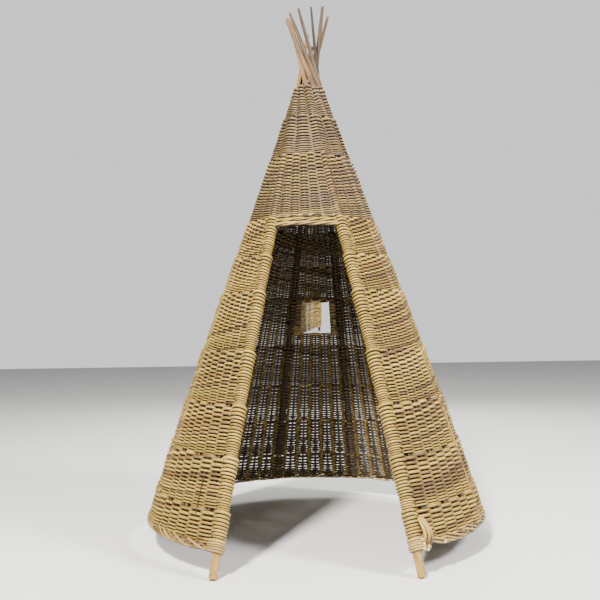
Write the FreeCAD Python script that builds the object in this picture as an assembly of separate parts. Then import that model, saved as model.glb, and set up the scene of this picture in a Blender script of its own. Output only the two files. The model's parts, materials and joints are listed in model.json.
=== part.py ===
"""A woven willow play wigwam: ten poles lean together and cross above a conical basketwork wall.

Millimetres, +Z up. The origin is on the floor, at the centre of the round base; the doorway faces -Y.
Four of the poles run on below the wall as feet. The wall is woven in bands round the poles and round thin stakes,
with a tall doorway, and a small window at the back that has a hinged woven shutter on the outside.
An azimuth is an angle round the axis in degrees, 0 at the middle of the doorway, positive towards +X.
"""

import FreeCAD
import Part

import math
import os

Vector = FreeCAD.Vector

# Overall sizes
rim_radius = 611.0          # outside of the wall at its foot, over a pole
bend_radius = 476.0         # the same where the poles bend inwards
foot_height = 72.0          # floor to the underside of the basketwork
waist_above_wall = 90.0     # height above the wall at which the poles pass closest to the axis
waist_radius = 30.0         # how far from the axis each pole passes there

# Basketwork
band_tops = [115.0, 266.0, 418.0, 585.0, 778.0, 900.0, 1030.0, 1260.0, 1410.0, 1520.0]  # above the wall's underside
bend_band = 3               # the poles bend inwards at the top of this band
door_band = 7               # the top of this band is level with the top of the doorway
wall_thickness_foot = 18.0
wall_thickness_top = 12.0
wrap_thickness_foot = 10.0  # basketwork outside and inside each pole
wrap_thickness_top = 6.0
door_wrap_extra = 3.0       # the rods turn back round the door posts, so they are thicker there
border_height = 18.0        # rolled edge at the wall's foot
border_thickness = 26.0
border_fillet = 6.0
lintel_height = 30.0
lintel_thickness = 28.0

# Poles: the first is the right-hand door post, the last is the left-hand one
pole_floor_radius = 12.8
pole_rim_radius = 14.5
door_half_angle = 30.0      # the two door posts stand this far each side of the doorway's middle
pole_waist_radii = [7.6, 8.4, 7.4, 7.2, 6.4, 7.2, 6.6, 5.6, 6.2, 6.6]
pole_tip_radii = [6.2, 7.0, 4.6, 4.2, 3.2, 4.6, 4.2, 2.8, 5.0, 5.0]
pole_rises = [184.0, 182.0, 187.0, 192.0, 194.0, 201.0, 183.0, 189.0, 93.0, 149.0]  # tip above the waist
footed_poles = [0, 3, 6, 9]  # the door posts and two of the rear poles

# Stakes
stakes_per_bay = 5
stake_foot_radius = 4.6
stake_top_radius = 3.2
stakes_over_door = 5
tall_stakes = (2, 4)        # these stakes of each bay run to the top of tall_stake_band, the others to door_band
tall_stake_band = 8
door_stake_to_top = 3       # the middle stake over the doorway runs to the top of the wall

# Fits
channel_clearance = 0.5     # basketwork round a pole or a stake
seam = 0.6                  # between neighbouring bands and at every other butted face
bend_swell = 0.3            # a rod is this much stouter where it bends; less than the channel's clearance

# Window and shutter, in the middle of the back
window_band = 5
window_stakes = (2, 3, 4)   # stakes of the back bay that the window interrupts
window_sill_height = 636.0  # above the wall's underside
window_height = 128.0
window_side_margin = 12.0   # basketwork between a jamb stake's middle and the opening
frame_rod_radius = 5.0
shutter_rod_radius = 5.0
shutter_stake_radius = 4.0
shutter_wrap = 3.0          # basketwork round each stile
shutter_width = 130.0       # between the middles of its two stiles
shutter_overlap = 12.0      # woven part past the opening, above and below
shutter_thickness = 13.0
stile_overhang = 20.0       # each stile past the woven part, at each end
hinge_stand_off = 9.5       # hinge axis out from the wall's outer face
shutter_open_angle = 52.0
hinge_loop_rod = 2.0
hinge_loop_play = 1.2

# Carrying loop beside the right-hand door post
loop_rods = 3
loop_rod_radius = 4.2
loop_height = 84.0          # above the border
loop_stand_off = 30.0       # clear reach of the loop's crest from the middle of the wall
loop_azimuth_gap = 2.4      # from the door post's azimuth to the loop's first rod

pole_count = len(pole_rises)
bay_count = pole_count - 1
wall_height = band_tops[-1]
wall_top = foot_height + wall_height
bend_height = foot_height + band_tops[bend_band - 1]
waist_height = wall_top + waist_above_wall
bay_angle = (360.0 - 2.0 * door_half_angle) / bay_count
window_bay = (bay_count + 1) // 2
slab_size = 4.0 * rim_radius


def between(first, last, z, z0, z1):
    return first + (last - first) * (z - z0) / (z1 - z0)


def wall_thickness(z):
    return between(wall_thickness_foot, wall_thickness_top, z, foot_height, wall_top)


def wrap_thickness(z):
    return between(wrap_thickness_foot, wrap_thickness_top, z, foot_height, wall_top)


def pole_radius(index, z):
    """A pole is stoutest at the wall's foot and tapers both ways from there."""
    if z < foot_height:
        return between(pole_floor_radius, pole_rim_radius, z, 0.0, foot_height)
    if z < waist_height:
        return between(pole_rim_radius, pole_waist_radii[index], z, foot_height, waist_height)
    tip = waist_height + pole_rises[index]
    return between(pole_waist_radii[index], pole_tip_radii[index], z, waist_height, tip)


def stake_radius(z):
    return between(stake_foot_radius, stake_top_radius, z, foot_height, wall_top)


def reach_outside(radius, z):
    """How far a pole has come along its heading from the waist, where the wall over it has this outside radius."""
    middle = radius - wrap_thickness(z) - between(pole_rim_radius, pole_waist_radii[0], z, foot_height, waist_height)
    return math.sqrt(middle**2 - waist_radius**2)


bend_reach = reach_outside(bend_radius, bend_height)
foot_reach = reach_outside(rim_radius, foot_height)
upper_lean = bend_reach / (waist_height - bend_height)
lower_lean = (foot_reach - bend_reach) / (bend_height - foot_height)
base_turn = math.degrees(math.atan2(waist_radius, foot_reach))


def outward(azimuth, distance=1.0, z=0.0):
    angle = math.radians(azimuth)
    return Vector(distance * math.sin(angle), -distance * math.cos(angle), z)


def heading_reach(z, near):
    """How far out along its heading a rod is at height z, on the straight run that passes the height near."""
    if near < bend_height:
        return upper_lean * (waist_height - bend_height) + lower_lean * (bend_height - z)
    return upper_lean * (waist_height - z)


def run_point(azimuth, z, near):
    heading = azimuth + base_turn
    past_axis = outward(heading - 90.0, waist_radius)
    return past_axis + outward(heading, heading_reach(z, near), z)


def leaning_point(azimuth, z):
    """The middle, at height z, of a pole or stake that stands at this azimuth at the wall's foot."""
    return run_point(azimuth, z, z)


def middle_radius(z):
    return math.hypot(waist_radius, heading_reach(z, z))


def azimuth_at(azimuth, z):
    """Where a pole or stake that starts at this azimuth has turned to at height z."""
    point = leaning_point(azimuth, z)
    return math.degrees(math.atan2(point.x, -point.y))


def pole_azimuth(index):
    return door_half_angle + index * bay_angle


def slab(z0, z1):
    return Part.makeBox(slab_size, slab_size, z1 - z0, Vector(-slab_size / 2, -slab_size / 2, z0))


def tapered_rod(start, end, r0, r1):
    along = end - start
    if abs(r0 - r1) < 1e-6:
        return Part.makeCylinder(r0, along.Length, start, along)
    return Part.makeCone(r0, r1, along.Length, start, along)


def leaning_rod(azimuth, z0, z1, radius_at):
    """A rod along the wall's line, in straight tapered runs with a slight knot where the line bends."""
    levels = [z0] + [z for z in (foot_height, bend_height, waist_height) if z0 < z < z1] + [z1]
    points = [leaning_point(azimuth, z) for z in levels]
    radii = [radius_at(z) for z in levels]
    runs = [tapered_rod(points[n], points[n + 1], radii[n], radii[n + 1]) for n in range(len(levels) - 1)]
    if z0 < bend_height < z1:
        runs.append(Part.makeSphere(radius_at(bend_height) + bend_swell, leaning_point(azimuth, bend_height)))
    return runs[0].fuse(runs[1:]) if len(runs) > 1 else runs[0]


def band_rod(azimuth, z0, z1, radius_at, extra):
    """The straight run that a rod makes through a band, carried on past the band at both ends."""
    middle = (z0 + z1) / 2.0
    r0 = radius_at(z0) + extra
    r1 = radius_at(z1) + extra
    spare = 2.0 * r0
    taper = (r1 - r0) / (z1 - z0) * spare
    return tapered_rod(run_point(azimuth, z0 - spare, middle), run_point(azimuth, z1 + spare, middle),
                       r0 - taper, r1 + taper)


def level_rod(azimuth, z0, z1, radius_at, extra=0.0):
    """A band's rod with its two ends cut level, so that it fills the height from z0 to z1."""
    return band_rod(azimuth, z0, z1, radius_at, extra).common(slab(z0, z1))


def pole_rod(index):
    """A whole pole. Those without a foot stop at the top of the rolled edge."""
    z0 = 0.0 if index in footed_poles else foot_height + border_height
    tip = waist_height + pole_rises[index]
    rod = leaning_rod(pole_azimuth(index), z0 - 3.0 * pole_rim_radius, tip, lambda z: pole_radius(index, z))
    return rod.cut(slab(z0 - slab_size, z0))


def stake_rod(azimuth, z0, z1):
    """A stake with square ends, just short enough for its leaning ends to stay between z0 and z1."""
    inset = stake_foot_radius * math.sin(math.atan(upper_lean))
    return leaning_rod(azimuth, z0 + inset, z1 - inset, stake_radius)


def pole_channels(z0, z1, indices):
    """Room for the poles through the basketwork between two heights."""
    return [band_rod(pole_azimuth(index), z0, z1, lambda z: pole_radius(index, z), channel_clearance)
            for index in indices]


def stake_channels(z0, z1):
    channels = []
    for _, azimuth, low, high in stake_list():
        if low > z1 - seam or high < z0 + seam:
            continue
        channel = band_rod(azimuth, z0, z1, stake_radius, channel_clearance)
        if low > z0 + seam or high < z1 - seam:
            channel = channel.common(slab(low - channel_clearance, high + channel_clearance))
        channels.append(channel)
    return channels


def solids_of(shape):
    return [solid for solid in shape.Solids if solid.Volume > 1.0]


def save(shapes, name):
    solids = [solid for shape in shapes for solid in solids_of(shape)]
    shape = solids[0] if len(solids) == 1 else Part.makeCompound(solids)
    shape.exportStep(os.path.join("parts", name + ".step"))
    print(name, len(solids), "solids", round(sum(solid.Volume for solid in solids) / 1000.0), "cm3")


def wall_ring(z0, z1, thickness0, thickness1, from_azimuth, to_azimuth):
    """Part of the leaning wall between two heights, as a straight-sided ring or segment of a ring."""
    r0 = middle_radius(z0)
    r1 = middle_radius(z1)
    corners = [Vector(r0 - thickness0 / 2, 0, z0), Vector(r0 + thickness0 / 2, 0, z0),
               Vector(r1 + thickness1 / 2, 0, z1), Vector(r1 - thickness1 / 2, 0, z1)]
    face = Part.Face(Part.makePolygon(corners + corners[:1]))
    face.rotate(Vector(0, 0, 0), Vector(0, 0, 1), from_azimuth - 90.0)
    return face.revolve(Vector(0, 0, 0), Vector(0, 0, 1), to_azimuth - from_azimuth).Solids[0]


def band_span(number):
    z0 = foot_height + (band_tops[number - 2] if number > 1 else border_height)
    z1 = foot_height + band_tops[number - 1]
    return z0, z1 - seam


def stake_top(position):
    """The height at which a stake ends: its place in its bay decides how many bands it runs through."""
    return band_span(tall_stake_band if position in tall_stakes else door_band)[1]


def stake_list():
    """Every stake as (bay, azimuth, z0, z1). Bay 0 is the one over the doorway."""
    found = []
    foot = foot_height + border_height
    for bay in range(1, bay_count + 1):
        for position in range(1, stakes_per_bay + 1):
            azimuth = pole_azimuth(bay - 1) + bay_angle * position / (stakes_per_bay + 1)
            top = stake_top(position)
            if bay == window_bay and position in window_stakes:
                sill, head = window_levels()
                found.append((bay, azimuth, foot, sill - 2 * frame_rod_radius - seam))
                found.append((bay, azimuth, head + 2 * frame_rod_radius + seam, top))
            else:
                found.append((bay, azimuth, foot, top))
    lintel_top = band_span(door_band)[1] + seam
    for position in range(1, stakes_over_door + 1):
        azimuth = -door_half_angle + 2.0 * door_half_angle * position / (stakes_over_door + 1)
        band = len(band_tops) if position == door_stake_to_top else tall_stake_band
        found.append((0, azimuth, lintel_top, band_span(band)[1]))
    return found


def window_levels():
    sill = foot_height + window_sill_height
    return sill, sill + window_height


def jamb_azimuths():
    """The two stakes that stand at the sides of the window, -X side first."""
    first = pole_azimuth(window_bay - 1) + bay_angle * (window_stakes[0] - 1) / (stakes_per_bay + 1)
    last = pole_azimuth(window_bay - 1) + bay_angle * (window_stakes[-1] + 1) / (stakes_per_bay + 1)
    return last, first


def window_frame_axes():
    """The window's middle on the wall's outer face, and its sideways, up and outward directions."""
    left, right = jamb_azimuths()
    sill, head = window_levels()
    foot = (leaning_point(left, sill) + leaning_point(right, sill)) / 2.0
    top = (leaning_point(left, head) + leaning_point(right, head)) / 2.0
    up = (top - foot).normalize()
    side = leaning_point(right, (sill + head) / 2) - leaning_point(left, (sill + head) / 2)
    side = (side - up * side.dot(up)).normalize()
    out = up.cross(side).normalize()
    middle = (foot + top) / 2.0
    outer_face = middle_radius(middle.z) + wall_thickness(middle.z) / 2.0
    centre = outward(azimuth_at((left + right) / 2.0, (sill + head) / 2), outer_face, middle.z)
    return centre, side, up, out


def window_cutter():
    """A block that cuts the opening between the two jamb stakes, square to the wall."""
    left, right = jamb_azimuths()
    sill, head = window_levels()
    inner = outward(azimuth_at((left + right) / 2.0, sill), middle_radius(sill) * 0.6)
    outer = outward(azimuth_at((left + right) / 2.0, sill), middle_radius(sill) * 1.4)
    sections = []
    for z in (sill, head):
        a = leaning_point(left, z)
        b = leaning_point(right, z)
        side = (b - a).normalize()
        a = a + side * window_side_margin
        b = b - side * window_side_margin
        depth = (outer - inner) / 2.0
        corners = [a - depth, b - depth, b + depth, a + depth]
        sections.append(Part.makePolygon(corners + corners[:1]))
    return Part.makeLoft(sections, True, True)


def build_poles():
    names = ["door_post_right"] + [f"frame_pole_{n}" for n in range(1, bay_count)] + ["door_post_left"]
    for index, name in enumerate(names):
        save([pole_rod(index)], name)


def build_stakes():
    stakes = stake_list()
    for bay in range(bay_count + 1):
        rods = [stake_rod(azimuth, z0, z1) for stake_bay, azimuth, z0, z1 in stakes if stake_bay == bay]
        save(rods, f"stakes_bay_{bay}" if bay else "stakes_over_door")


def pole_wraps(z0, z1, indices):
    """The basketwork that goes round each pole between two heights."""
    wraps = []
    for index in indices:
        at_door = index in (0, pole_count - 1) and z1 < foot_height + band_tops[door_band - 1]
        extra = door_wrap_extra if at_door else 0.0
        wraps.append(level_rod(pole_azimuth(index), z0, z1, lambda z: pole_radius(index, z) + wrap_thickness(z), extra))
    return wraps


def build_bands():
    window_cuts = [window_cutter()] + [frame_rod(end, channel_clearance) for end in (-1, 1)]
    window_cuts += [hinge_loop(end, channel_clearance) for end in (-1, 1)]
    for number in range(1, len(band_tops) + 1):
        z0, z1 = band_span(number)
        middle = (z0 + z1) / 2.0
        start, finish = 0.0, 360.0
        if number <= door_band:
            start = azimuth_at(door_half_angle, middle)
            finish = 360.0 + azimuth_at(-door_half_angle, middle)
        ring = wall_ring(z0, z1, wall_thickness(z0), wall_thickness(z1), start, finish)
        cutters = pole_channels(z0, z1, range(pole_count)) + stake_channels(z0, z1)
        if abs(number - window_band) <= 1:
            cutters += window_cuts
        if number == 1:
            cutters += loop_channels()
        save([ring.fuse(pole_wraps(z0, z1, range(pole_count))).cut(cutters)], f"weave_band_{number:02d}")


def build_border():
    z0 = foot_height
    z1 = foot_height + border_height - seam
    ring = wall_ring(z0, z1, border_thickness, border_thickness, azimuth_at(door_half_angle, z0),
                     360.0 + azimuth_at(-door_half_angle, z0))
    ring = ring.makeFillet(border_fillet, [edge for edge in ring.Edges if edge.Curve.TypeId == "Part::GeomCircle"])
    cutters = pole_channels(z0, z1, footed_poles) + loop_channels()
    save([ring.fuse(pole_wraps(z0, z1, footed_poles)).cut(cutters)], "base_border")


def build_lintel():
    z1 = foot_height + band_tops[door_band - 1] - seam
    z0 = z1 - lintel_height
    middle = (z0 + z1) / 2.0
    ring = wall_ring(z0, z1, lintel_thickness, lintel_thickness, azimuth_at(-door_half_angle, middle),
                     azimuth_at(door_half_angle, middle))
    posts = [level_rod(pole_azimuth(index), z0 - seam, z1 + seam,
                       lambda z: pole_radius(index, z) + wrap_thickness(z), door_wrap_extra + seam)
             for index in (0, pole_count - 1)]
    save([ring.cut(posts)], "door_lintel")


def frame_rod(end, extra=0.0):
    """The window's sill rod (end -1) or head rod (end 1), from jamb stake to jamb stake."""
    left, right = jamb_azimuths()
    sill, head = window_levels()
    z = sill - frame_rod_radius if end < 0 else head + frame_rod_radius
    a = leaning_point(left, z)
    b = leaning_point(right, z)
    side = (b - a).normalize()
    inset = stake_radius(z) + channel_clearance
    a = a + side * (inset - extra)
    b = b - side * (inset - extra)
    return Part.makeCylinder(frame_rod_radius + extra, (b - a).Length, a, b - a)


def shutter_axes():
    """The hinge axis's middle, and the shutter's sideways, up and outward directions when it is closed."""
    centre, side, up, out = window_frame_axes()
    left, right = jamb_azimuths()
    jamb = leaning_point(left, centre.z)
    along_side = (jamb - centre).dot(side)
    hinge = centre + side * along_side + out * hinge_stand_off
    return hinge, side, up, out


def opened(shape):
    hinge, side, up, out = shutter_axes()
    turned = shape.copy()
    turned.rotate(hinge, up, shutter_open_angle)
    return turned


def shutter_half_height():
    sill, head = window_levels()
    slope = math.hypot(1.0, upper_lean)
    return (head - sill) * slope / 2.0 + shutter_overlap


def stile(offset, radius, overhang):
    hinge, side, up, out = shutter_axes()
    half = shutter_half_height() + overhang
    return Part.makeCylinder(radius, 2.0 * half, hinge + side * offset - up * half, up)


def build_shutter():
    hinge, side, up, out = shutter_axes()
    half = shutter_half_height()
    save([opened(stile(0.0, shutter_rod_radius, stile_overhang))], "shutter_hinge_stile")
    save([opened(stile(shutter_width, shutter_rod_radius, stile_overhang))], "shutter_free_stile")
    save([opened(stile(shutter_width / 2, shutter_stake_radius, -seam))], "shutter_mid_stake")
    start = hinge - out * (shutter_thickness / 2.0) - up * half
    corners = [start, start + side * shutter_width]
    corners += [corners[1] + out * shutter_thickness, start + out * shutter_thickness]
    panel = Part.Face(Part.makePolygon(corners + corners[:1])).extrude(up * (2.0 * half))
    ends = [Part.makeCylinder(shutter_rod_radius + shutter_wrap, 2.0 * half, hinge + side * offset - up * half, up)
            for offset in (0.0, shutter_width)]
    rods = [stile(0.0, shutter_rod_radius + channel_clearance, stile_overhang),
            stile(shutter_width, shutter_rod_radius + channel_clearance, stile_overhang),
            stile(shutter_width / 2, shutter_stake_radius + channel_clearance, 0.0)]
    save([opened(panel.fuse(ends).cut(rods))], "shutter_weave")
    save([hinge_loop(1)], "shutter_hinge_loop_upper")
    save([hinge_loop(-1)], "shutter_hinge_loop_lower")


def hinge_loop(end, extra=0.0):
    """A long ring round the jamb stake and one end of the shutter's hinge stile. end is 1 at the top, -1 below."""
    hinge, side, up, out = shutter_axes()
    bend = shutter_rod_radius + hinge_loop_play + hinge_loop_rod
    level = hinge + up * (end * (shutter_half_height() + stile_overhang / 2.0))
    left, right = jamb_azimuths()
    stake = leaning_point(left, level.z)
    stake = stake + up * ((level - stake).dot(up))
    along = (stake - level).normalize()
    across = up.cross(along).normalize()
    rod = hinge_loop_rod + extra
    length = (stake - level).Length
    pieces = [Part.makeCylinder(rod, length, level + across * (side_sign * bend), along) for side_sign in (-1, 1)]
    for middle, towards in ((level, along * -1.0), (stake, along)):
        ring = Part.makeTorus(bend, rod, middle, up)
        half = Part.makeBox(4 * bend, 4 * bend, 4 * bend, Vector(-2 * bend, -2 * bend, 0))
        half.Placement = FreeCAD.Placement(middle, FreeCAD.Rotation(Vector(0, 0, 1), towards))
        pieces.append(ring.common(half))
    return pieces[0].fuse(pieces[1:])


def loop_rod(number, extra=0.0):
    """One rod of the carrying loop: it leaves the wall, arches outward and runs into the rolled edge."""
    step = math.degrees((2.0 * loop_rod_radius + seam) / middle_radius(foot_height))
    azimuth = door_half_angle + loop_azimuth_gap + step * number
    top = foot_height + border_height + loop_height
    start = leaning_point(azimuth, top)
    finish = leaning_point(azimuth, foot_height + border_height / 2.0)
    crest = (start + finish) / 2.0 + outward(azimuth_at(azimuth, top), loop_stand_off)
    path = Part.Wire([Part.Arc(start, crest, finish).toShape()])
    tangent = path.Edges[0].tangentAt(path.Edges[0].FirstParameter)
    section = Part.Wire([Part.makeCircle(loop_rod_radius + extra, start, tangent)])
    return path.makePipeShell([section], True, False)


def loop_channels():
    return [loop_rod(number, channel_clearance) for number in range(loop_rods)]


def build_loop():
    save([loop_rod(number) for number in range(loop_rods)], "carrying_loop")


def build_window_frame():
    save([frame_rod(-1)], "window_sill_rod")
    save([frame_rod(1)], "window_head_rod")


def print_places():
    """The places that the part's mounts, joint and openings are stated from."""
    hinge, side, up, out = shutter_axes()
    print("shutter hinge at", hinge, "axis", up)
    for index in footed_poles:
        print("foot", index, "at", leaning_point(pole_azimuth(index), 0.0))


def main():
    os.makedirs("parts", exist_ok=True)
    build_poles()
    build_stakes()
    build_bands()
    build_border()
    build_lintel()
    build_window_frame()
    build_shutter()
    build_loop()
    print_places()


main()
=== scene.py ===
import json
import math

import bpy
from mathutils import Matrix, Vector


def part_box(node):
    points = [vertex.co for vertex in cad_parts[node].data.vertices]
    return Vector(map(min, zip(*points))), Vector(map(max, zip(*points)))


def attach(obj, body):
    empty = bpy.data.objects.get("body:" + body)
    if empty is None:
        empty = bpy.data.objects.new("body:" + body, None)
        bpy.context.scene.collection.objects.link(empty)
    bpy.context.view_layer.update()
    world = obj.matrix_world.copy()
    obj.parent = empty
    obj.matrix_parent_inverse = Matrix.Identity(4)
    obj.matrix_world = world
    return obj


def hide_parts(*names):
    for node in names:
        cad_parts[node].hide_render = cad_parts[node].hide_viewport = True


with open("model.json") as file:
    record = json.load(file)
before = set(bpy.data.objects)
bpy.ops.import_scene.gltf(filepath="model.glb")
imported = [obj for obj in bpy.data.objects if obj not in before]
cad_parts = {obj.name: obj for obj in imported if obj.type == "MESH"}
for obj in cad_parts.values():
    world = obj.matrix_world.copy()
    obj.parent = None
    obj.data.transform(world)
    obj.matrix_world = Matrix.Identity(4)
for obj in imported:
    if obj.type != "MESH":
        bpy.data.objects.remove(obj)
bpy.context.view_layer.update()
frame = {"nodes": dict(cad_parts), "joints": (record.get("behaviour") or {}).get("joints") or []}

# The line that every pole and stake follows, in metres and degrees: straight above the bend, and less steep
# below it.
line = dict(rimRadius=0.611, bendRadius=0.476, footHeight=0.072, bendHeight=0.490, wallTop=1.592,
            waistHeight=1.682, waistRadius=0.030, bendSoftness=0.045, doorHalfAngle=30.0, bays=9)
poleSizes = dict(floor=0.0128, rim=0.0145, wrapFoot=0.010, wrapTop=0.006)


def between(first, last, share):
    return first + (last - first) * share


def lineReach(radius, height, poleRadius):
    share = (height - line["footHeight"]) / (line["wallTop"] - line["footHeight"])
    middle = radius - between(poleSizes["wrapFoot"], poleSizes["wrapTop"], share) - poleRadius
    return math.sqrt(middle ** 2 - line["waistRadius"] ** 2)


bendReach = lineReach(line["bendRadius"], line["bendHeight"], 0.0127)
footReach = lineReach(line["rimRadius"], line["footHeight"], poleSizes["rim"])
upperLean = bendReach / (line["waistHeight"] - line["bendHeight"])
lowerLean = (footReach - bendReach) / (line["bendHeight"] - line["footHeight"])
baseTurn = math.atan2(line["waistRadius"], footReach)
bayAngle = math.radians(360.0 - 2.0 * line["doorHalfAngle"]) / line["bays"]
doorAngle = math.radians(2.0 * line["doorHalfAngle"])
doorHalf = math.radians(line["doorHalfAngle"])


# ---- numbers and geometry in node trees
class Number:
    # a number in a node tree that takes ordinary arithmetic
    def __init__(self, tree, socket):
        self.tree = tree
        self.socket = socket

    def math(self, operation, *others):
        node = self.tree.nodes.new("ShaderNodeMath")
        node.operation = operation
        for place, value in zip(node.inputs, (self,) + others):
            put(self.tree, place, value)
        return Number(self.tree, node.outputs[0])

    def __add__(self, other):
        return self.math("ADD", other)

    def __sub__(self, other):
        return self.math("SUBTRACT", other)

    def __mul__(self, other):
        return self.math("MULTIPLY", other)

    def __truediv__(self, other):
        return self.math("DIVIDE", other)

    def __rsub__(self, other):
        return (self * -1.0) + other

    __radd__ = __add__
    __rmul__ = __mul__

    def clamped(self, low=0.0, high=1.0):
        return self.math("MAXIMUM", low).math("MINIMUM", high)


def put(tree, place, value):
    if isinstance(value, Number):
        tree.links.new(value.socket, place)
    elif isinstance(value, bpy.types.NodeSocket):
        tree.links.new(value, place)
    else:
        place.default_value = value


class Tree:
    # a geometry node tree with named inputs
    def __init__(self, name):
        self.tree = bpy.data.node_groups.new(name, "GeometryNodeTree")
        self.tree.interface.new_socket("Geometry", in_out="OUTPUT", socket_type="NodeSocketGeometry")
        self.into = self.tree.nodes.new("NodeGroupInput")
        self.out = self.tree.nodes.new("NodeGroupOutput")

    def input(self, name, kind="Float"):
        self.tree.interface.new_socket(name, in_out="INPUT", socket_type="NodeSocket" + kind)
        socket = self.into.outputs[name]
        return Number(self.tree, socket) if kind in ("Float", "Int") else socket

    def inputs(self, *names):
        return [self.input(name) for name in names]

    def node(self, kind, values=None, **settings):
        made = self.tree.nodes.new(kind)
        for key, value in settings.items():
            setattr(made, key, value)
        for key, value in (values or {}).items():
            put(self.tree, made.inputs[key], value)
        return made

    def number(self, value):
        made = self.node("ShaderNodeValue")
        made.outputs[0].default_value = value
        return Number(self.tree, made.outputs[0])

    def vector(self, x, y, z):
        return self.node("ShaderNodeCombineXYZ", {0: x, 1: y, 2: z}).outputs[0]

    def place(self):
        # the parts of the position, before anything has moved
        parts = self.node("ShaderNodeSeparateXYZ", {0: self.node("GeometryNodeInputPosition").outputs[0]})
        return [Number(self.tree, parts.outputs[n]) for n in range(3)]

    def noise(self, x, y, z, scale=1.0, detail=1.0):
        made = self.node("ShaderNodeTexNoise", {
            "Vector": self.vector(x, y, z), "Scale": scale, "Detail": detail})
        return Number(self.tree, made.outputs[0]) - 0.5

    def random(self, identity, seed, low=0.0, high=1.0):
        made = self.node("FunctionNodeRandomValue", {2: low, 3: high, "ID": identity, "Seed": seed},
                         data_type="FLOAT")
        return Number(self.tree, made.outputs[1])

    def rows(self, rowPoints, rowCount, ring=False):
        # rows of joined points: x counts along a row (or is an angle's point on a ring) and y counts the rows
        if ring:
            row = self.node("GeometryNodeMeshCircle", {"Vertices": rowPoints, "Radius": 1.0}).outputs[0]
            step = self.vector(0.0, 0.0, 1.0)
        else:
            along = self.vector(1.0, 0.0, 0.0)
            row = self.node("GeometryNodeMeshLine", {"Count": rowPoints, "Offset": along}).outputs[0]
            step = self.vector(0.0, 1.0, 0.0)
        column = self.node("GeometryNodeMeshLine", {"Count": rowCount, "Offset": step}).outputs[0]
        many = self.node("GeometryNodeInstanceOnPoints", {"Points": column, "Instance": row}).outputs[0]
        return self.node("GeometryNodeRealizeInstances", {"Geometry": many}).outputs[0]

    def keep(self, shape, name, value):
        return self.node("GeometryNodeStoreNamedAttribute", {"Geometry": shape, "Name": name, "Value": value},
                         data_type="FLOAT", domain="POINT").outputs[0]

    def shades(self, shape, rod, seed, low=0.3, high=0.6):
        # each rod's own place in its material's colours, and how weathered it is
        shape = self.keep(shape, "tone", self.random(rod, seed + 4.0))
        return self.keep(shape, "grey", self.random(rod, seed + 6.0, low, high))

    def rods(self, shape, position, radius, sides, material, parted=False):
        # moves the rows' points into place and makes each row a round rod, parted where drop was kept
        shape = self.keep(shape, "rodRadius", radius)
        shape = self.node("GeometryNodeSetPosition", {"Geometry": shape, "Position": position}).outputs[0]
        if parted:
            # the points go while they are still a mesh, so that the rows part there
            dropped = self.named("drop")
            shape = self.node("GeometryNodeDeleteGeometry", {
                "Geometry": shape, "Selection": dropped.math("GREATER_THAN", 0.5)}, domain="POINT").outputs[0]
        curve = self.node("GeometryNodeMeshToCurve", {"Mesh": shape}).outputs[0]
        self.sweep(curve, sides, material)

    def named(self, name):
        made = self.node("GeometryNodeInputNamedAttribute", {"Name": name}, data_type="FLOAT")
        return Number(self.tree, made.outputs[0])

    def sweep(self, curve, sides, material):
        along = Number(self.tree, self.node("GeometryNodeSplineParameter").outputs["Length"])
        curve = self.keep(curve, "along", along)
        profile = self.node("GeometryNodeCurvePrimitiveCircle", {
            "Resolution": sides, "Radius": 1.0}).outputs[0]
        around = Number(self.tree, self.node("GeometryNodeSplineParameter").outputs["Factor"])
        profile = self.keep(profile, "around", around)
        mesh = self.node("GeometryNodeCurveToMesh", {
            "Curve": curve, "Profile Curve": profile, "Scale": self.named("rodRadius"),
            "Fill Caps": True}).outputs[0]
        mesh = self.node("GeometryNodeSetShadeSmooth", {"Geometry": mesh}).outputs[0]
        mesh = self.node("GeometryNodeRealizeInstances", {"Geometry": mesh}).outputs[0]
        mesh = self.node("GeometryNodeSetMaterial", {"Geometry": mesh, "Material": material}).outputs[0]
        self.tree.links.new(mesh, self.out.inputs[0])


def wallFrame(t, heading, height):
    # on the line of a rod with this heading: the middle point and the outward direction
    upper = (line["waistHeight"] - height) * upperLean
    lower = (line["bendHeight"] - height) * lowerLean + bendReach
    reach = lower.math("SMOOTH_MIN", upper, line["bendSoftness"])
    sine = heading.math("SINE")
    cosine = heading.math("COSINE")
    x = reach * sine - cosine * line["waistRadius"]
    y = sine * -line["waistRadius"] - reach * cosine
    radius = (x * x + y * y).math("SQRT")
    slope = math.atan(upperLean)
    return dict(x=x, y=y, z=height, outX=x / radius, outY=y / radius,
                flat=math.cos(slope), rise=math.sin(slope))


def offPoint(t, at, out=0.0, round=0.0, up=0.0):
    # a point that stands off the wall's middle: outward from it, round it, and up its slope
    push = (t.number(0.0) + out) * at["flat"] - (t.number(0.0) + up) * at["rise"]
    x = at["x"] + at["outX"] * push - at["outY"] * round
    y = at["y"] + at["outY"] * push + at["outX"] * round
    z = at["z"] + (t.number(0.0) + out) * at["rise"] + (t.number(0.0) + up) * at["flat"]
    return t.vector(x, y, z)


def headingOf(k, perBay, doorIntervals):
    # uprights are counted from the right-hand door post round the back; the doorway's come last
    main = perBay * float(line["bays"])
    past = (k - main).math("MAXIMUM", 0.0)
    overDoorway = past * doorAngle / doorIntervals.math("MAXIMUM", 1.0)
    return (k.math("MINIMUM", main) * bayAngle / perBay + overDoorway
            + (doorHalf + baseTurn))


def bandSize(q, low, high):
    # rods thicken evenly up a band, and their courses spread with them
    share = (q * low + q * q * (high - low) * 0.5) / ((low + high) * 0.5)
    return low + (high - low) * q, share


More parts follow.
